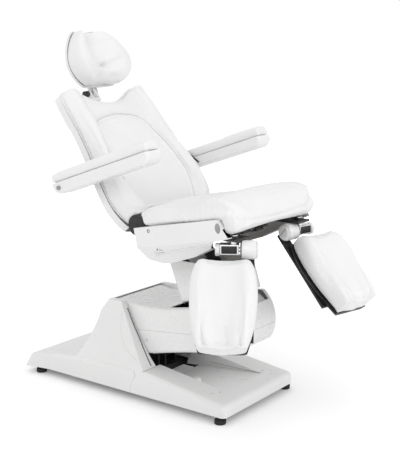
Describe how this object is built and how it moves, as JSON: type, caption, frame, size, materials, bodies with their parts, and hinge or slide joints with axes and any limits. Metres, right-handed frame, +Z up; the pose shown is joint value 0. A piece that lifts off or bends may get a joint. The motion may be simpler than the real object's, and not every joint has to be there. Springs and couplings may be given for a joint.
{
  "type": "podiatry chair",
  "caption": "Powered foot-care chair: low base and lift arm, tilting seat, reclining back with armrests and headrest, and two leg rests that swivel and tilt separately.",
  "frame": {"origin": "on the floor, midway between the four levelling feet", "axes": "+X towards the patient's feet, +Y towards the patient's left, +Z up"},
  "size_m": [1.3918, 0.912, 1.4594],
  "materials": {
    "abs_white": "smooth white shell, light gloss",
    "board": "plywood",
    "bronze": "plain bearing",
    "chrome": "polished",
    "frame_steel": "dark powder coat",
    "grey_plastic": "moulded grey",
    "motor_black": "moulded black",
    "plain_steel": "machined steel",
    "rubber": "matt black",
    "upholstery": "soft white coated fabric over foam"
  },
  "bodies": {
    "base": {"base_frame": "frame_steel", "levelling_feet": "rubber", "foot_nuts": "plain_steel", "lift_shaft": "plain_steel", "base_pins": "plain_steel", "tower_cover": "abs_white", "deck_cover": "abs_white", "base_cover_screws": "plain_steel", "control_box": "motor_black", "power_inlet": "motor_black"},
    "lift_arm": {"arm_beam": "frame_steel", "arm_bushes": "bronze", "nose_shaft": "plain_steel", "lift_motor": "motor_black", "arm_upper_cover": "abs_white", "arm_lower_cover": "abs_white"},
    "lift_ram": {"lift_ram": "plain_steel"},
    "leveller_link": {"leveller_link": "frame_steel"},
    "column": {"column_frame": "frame_steel", "column_pins": "plain_steel", "tilt_shaft": "plain_steel", "column_cover": "abs_white"},
    "seat": {"seat_frame": "frame_steel", "tilt_motor": "motor_black", "back_motor": "motor_black", "back_shaft": "plain_steel", "leg_brackets": "frame_steel", "seat_board": "board", "side_cover_right": "abs_white", "side_cover_left": "abs_white", "side_cover_screws": "plain_steel", "hinge_covers": "motor_black", "seat_cushion": "upholstery"},
    "tilt_ram": {"tilt_ram": "plain_steel"},
    "back_ram": {"back_ram": "plain_steel"},
    "back": {"back_frame": "frame_steel", "back_shell": "abs_white", "back_cushion": "upholstery"},
    "armrest_right": {"armrest_shell_right": "abs_white", "armrest_pad_right": "upholstery"},
    "armrest_left": {"armrest_shell_left": "abs_white", "armrest_pad_left": "upholstery"},
    "button_right": {"armrest_button_right": "grey_plastic"},
    "button_left": {"armrest_button_left": "grey_plastic"},
    "head_post": {"headrest_post": "plain_steel"},
    "head_knob": {"headrest_knob": "motor_black"},
    "headrest": {"headrest_shell": "abs_white", "headrest_cushion": "upholstery"},
    "leg_block_right": {"leg_block_right": "chrome", "leg_cap_right": "abs_white"},
    "leg_rest_right": {"leg_bar_right": "frame_steel", "leg_shell_right": "motor_black", "leg_cushion_right": "upholstery"},
    "leg_block_left": {"leg_block_left": "chrome", "leg_cap_left": "abs_white"},
    "leg_rest_left": {"leg_bar_left": "frame_steel", "leg_shell_left": "motor_black", "leg_cushion_left": "upholstery"}
  },
  "joints": [
    {"name": "arm_lift", "type": "hinge", "parent": "base", "child": "lift_arm", "pos_m": [-0.03, 0, 0.27], "axis": [0, -1, 0], "range_deg": [-8, 32]},
    {"name": "column_level", "type": "hinge", "parent": "lift_arm", "child": "column", "pos_m": [0.3756, 0, 0.32989], "axis": [0, -1, 0], "range_deg": [-32, 8]},
    {"name": "link_swing", "type": "hinge", "parent": "base", "child": "leveller_link", "pos_m": [-0.03, 0.075, 0.21], "axis": [0, -1, 0], "range_deg": [-8, 32]},
    {"name": "lift_ram_slide", "type": "slide", "parent": "lift_arm", "child": "lift_ram", "axis": [0.9893, 0, 0.1461], "range_m": [-0.0345, 0.009]},
    {"name": "seat_tilt", "type": "hinge", "parent": "column", "child": "seat", "pos_m": [0.1696, 0, 0.59189], "axis": [0, -1, 0], "range_deg": [-11, 6]},
    {"name": "tilt_ram_slide", "type": "slide", "parent": "seat", "child": "tilt_ram", "axis": [0.9816, 0, 0.1908], "range_m": [-0.0138, 0.0075]},
    {"name": "back_recline", "type": "hinge", "parent": "seat", "child": "back", "pos_m": [0.09397, 0, 0.7137], "axis": [0, -1, 0], "range_deg": [-5, 47]},
    {"name": "back_ram_slide", "type": "slide", "parent": "seat", "child": "back_ram", "axis": [0.9816, 0, 0.1908], "range_m": [-0.0065, 0.0562]},
    {"name": "armrest_swing_right", "type": "hinge", "parent": "back", "child": "armrest_right", "pos_m": [-0.10472, -0.36, 0.87367], "axis": [0, -1, 0], "range_deg": [0, 70]},
    {"name": "armrest_button_right_press", "type": "slide", "parent": "armrest_right", "child": "button_right", "axis": [0, 1, 0], "range_m": [0, 0.005], "stiffness_N_per_m": 600},
    {"name": "armrest_swing_left", "type": "hinge", "parent": "back", "child": "armrest_left", "pos_m": [-0.10472, 0.36, 0.87367], "axis": [0, -1, 0], "range_deg": [0, 70]},
    {"name": "armrest_button_left_press", "type": "slide", "parent": "armrest_left", "child": "button_left", "axis": [0, -1, 0], "range_m": [0, 0.005], "stiffness_N_per_m": 600},
    {"name": "headrest_slide", "type": "slide", "parent": "back", "child": "head_post", "axis": [-0.5736, 0, 0.8192], "range_m": [-0.008, 0.09]},
    {"name": "headrest_tilt", "type": "hinge", "parent": "head_post", "child": "headrest", "pos_m": [-0.36077, 0, 1.18879], "axis": [0, -1, 0], "range_deg": [-12, 35]},
    {"name": "headrest_knob_turn", "type": "hinge", "parent": "head_post", "child": "head_knob", "pos_m": [-0.36077, 0, 1.18879], "axis": [0, 1, 0], "continuous": true},
    {"name": "leg_swivel_right", "type": "hinge", "parent": "seat", "child": "leg_block_right", "pos_m": [0.53, -0.227, 0.673], "axis": [0, 0, -1], "range_deg": [-60, 25]},
    {"name": "leg_tilt_right", "type": "hinge", "parent": "leg_block_right", "child": "leg_rest_right", "pos_m": [0.53, -0.227, 0.673], "axis": [-0.8387, -0.5446, 0], "range_deg": [-11, 45]},
    {"name": "leg_swivel_left", "type": "hinge", "parent": "seat", "child": "leg_block_left", "pos_m": [0.53, 0.227, 0.673], "axis": [0, 0, 1], "range_deg": [0, 95]},
    {"name": "leg_tilt_left", "type": "hinge", "parent": "leg_block_left", "child": "leg_rest_left", "pos_m": [0.53, 0.227, 0.673], "axis": [-0.2419, -0.9703, 0], "range_deg": [-24, 32]}
  ],
  "couplings": [
    {"joint": "column_level", "follows": "arm_lift", "ratio": -1},
    {"joint": "link_swing", "follows": "arm_lift", "ratio": 1},
    {"joint": "lift_ram_slide", "follows": "arm_lift", "m_per_rad": -0.0594},
    {"joint": "tilt_ram_slide", "follows": "seat_tilt", "m_per_rad": 0.0677},
    {"joint": "back_ram_slide", "follows": "back_recline", "m_per_rad": 0.0676}
  ]
}
